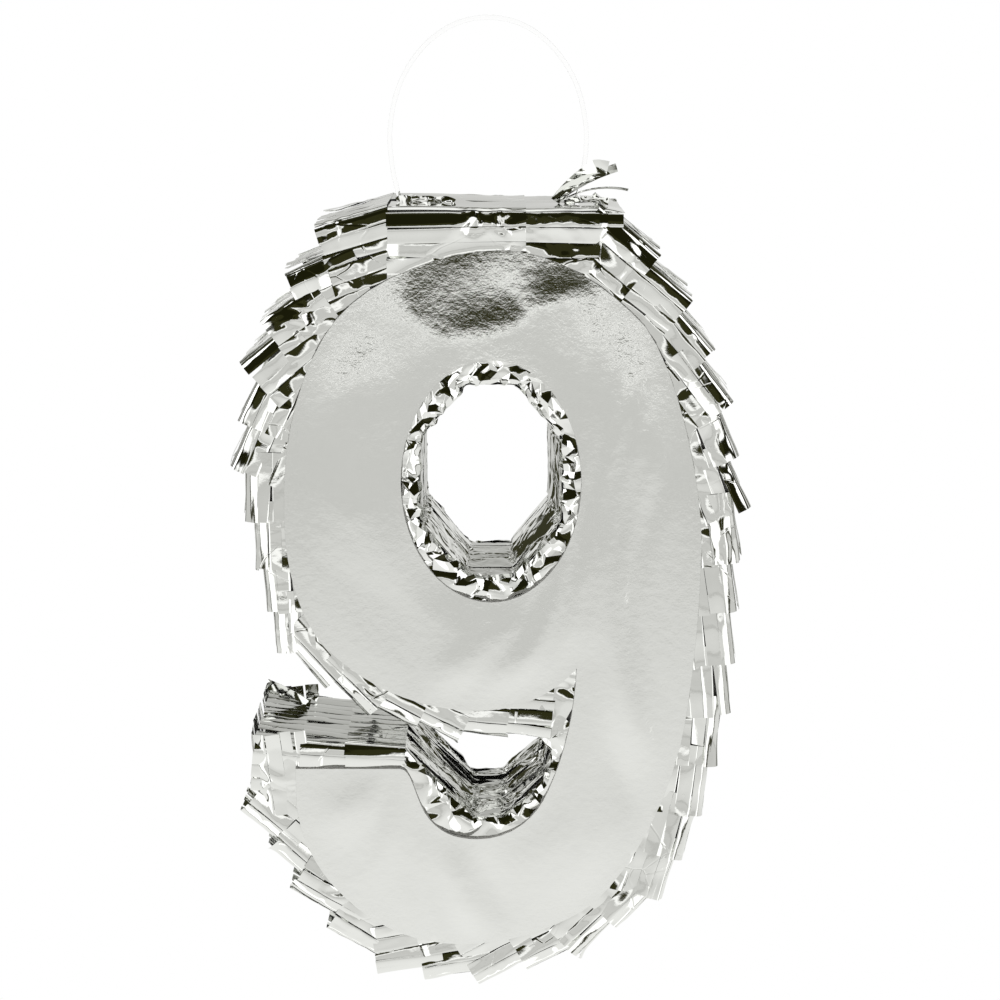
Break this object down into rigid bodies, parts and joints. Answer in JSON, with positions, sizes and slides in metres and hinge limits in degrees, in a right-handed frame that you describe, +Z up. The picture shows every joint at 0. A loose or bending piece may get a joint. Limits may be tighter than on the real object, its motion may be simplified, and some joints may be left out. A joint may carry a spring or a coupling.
{
  "type": "hanging number pinata",
  "caption": "Hollow card pinata in the shape of the numeral nine, faced and fringed in silver foil, with a cord loop to hang it by and a filling flap at the back.",
  "frame": {"origin": "inside of the cord loop at its highest point, where a hook carries it, midway between front and back", "axes": "+X to the right of the front face as it is looked at, -Y out of the front face, +Z up"},
  "size_m": [0.3421, 0.0962, 0.6741],
  "materials": {
    "card": "matte",
    "paper_tape": "satin",
    "face_foil": "polished",
    "fringe_foil": "polished",
    "cord": "gloss"
  },
  "bodies": {
    "hanger": {"hanger_loop": "cord"},
    "pinata": {"front_panel": "card", "back_panel": "card", "top_wall": "card", "right_wall": "card", "bottom_wall": "card", "tail_wall": "card", "counter_wall": "card", "bowl_under_wall": "card", "left_wall": "card", "hole_wall": "card", "hanger_plate": "card", "joint_tape": "paper_tape", "hanger_knots": "cord", "front_foil": "face_foil", "back_foil": "face_foil", "hanger_tuft_left": "fringe_foil", "hanger_tuft_right": "fringe_foil", "fringe_top": "fringe_foil", "fringe_tail_end": "fringe_foil", "fringe_tail_top": "fringe_foil", "fringe_counter": "fringe_foil", "fringe_hole": "fringe_foil", "fringe_right_01": "fringe_foil", "fringe_right_02": "fringe_foil", "fringe_right_03": "fringe_foil", "fringe_right_04": "fringe_foil", "fringe_right_05": "fringe_foil", "fringe_right_06": "fringe_foil", "fringe_right_07": "fringe_foil", "fringe_right_08": "fringe_foil", "fringe_right_09": "fringe_foil", "fringe_right_10": "fringe_foil", "fringe_right_11": "fringe_foil", "fringe_right_12": "fringe_foil", "fringe_left_01": "fringe_foil", "fringe_left_02": "fringe_foil", "fringe_left_03": "fringe_foil", "fringe_left_04": "fringe_foil", "fringe_left_05": "fringe_foil", "fringe_left_06": "fringe_foil", "fringe_left_07": "fringe_foil", "fringe_left_08": "fringe_foil"},
    "flap": {"fill_flap": "card", "flap_foil": "face_foil", "flap_tab": "face_foil"}
  },
  "joints": [
    {"name": "hanger_swing", "type": "hinge", "parent": "hanger", "child": "pinata", "pos_m": [0, 0, -0.121], "axis": [1, 0, 0], "range_deg": [-45, 45]},
    {"name": "fill_flap_hinge", "type": "hinge", "parent": "pinata", "child": "flap", "pos_m": [0, 0.04785, -0.1595], "axis": [1, 0, 0], "range_deg": [0, 110], "stiffness_Nm_per_rad": 0.004, "springref_deg": -11.46}
  ]
}
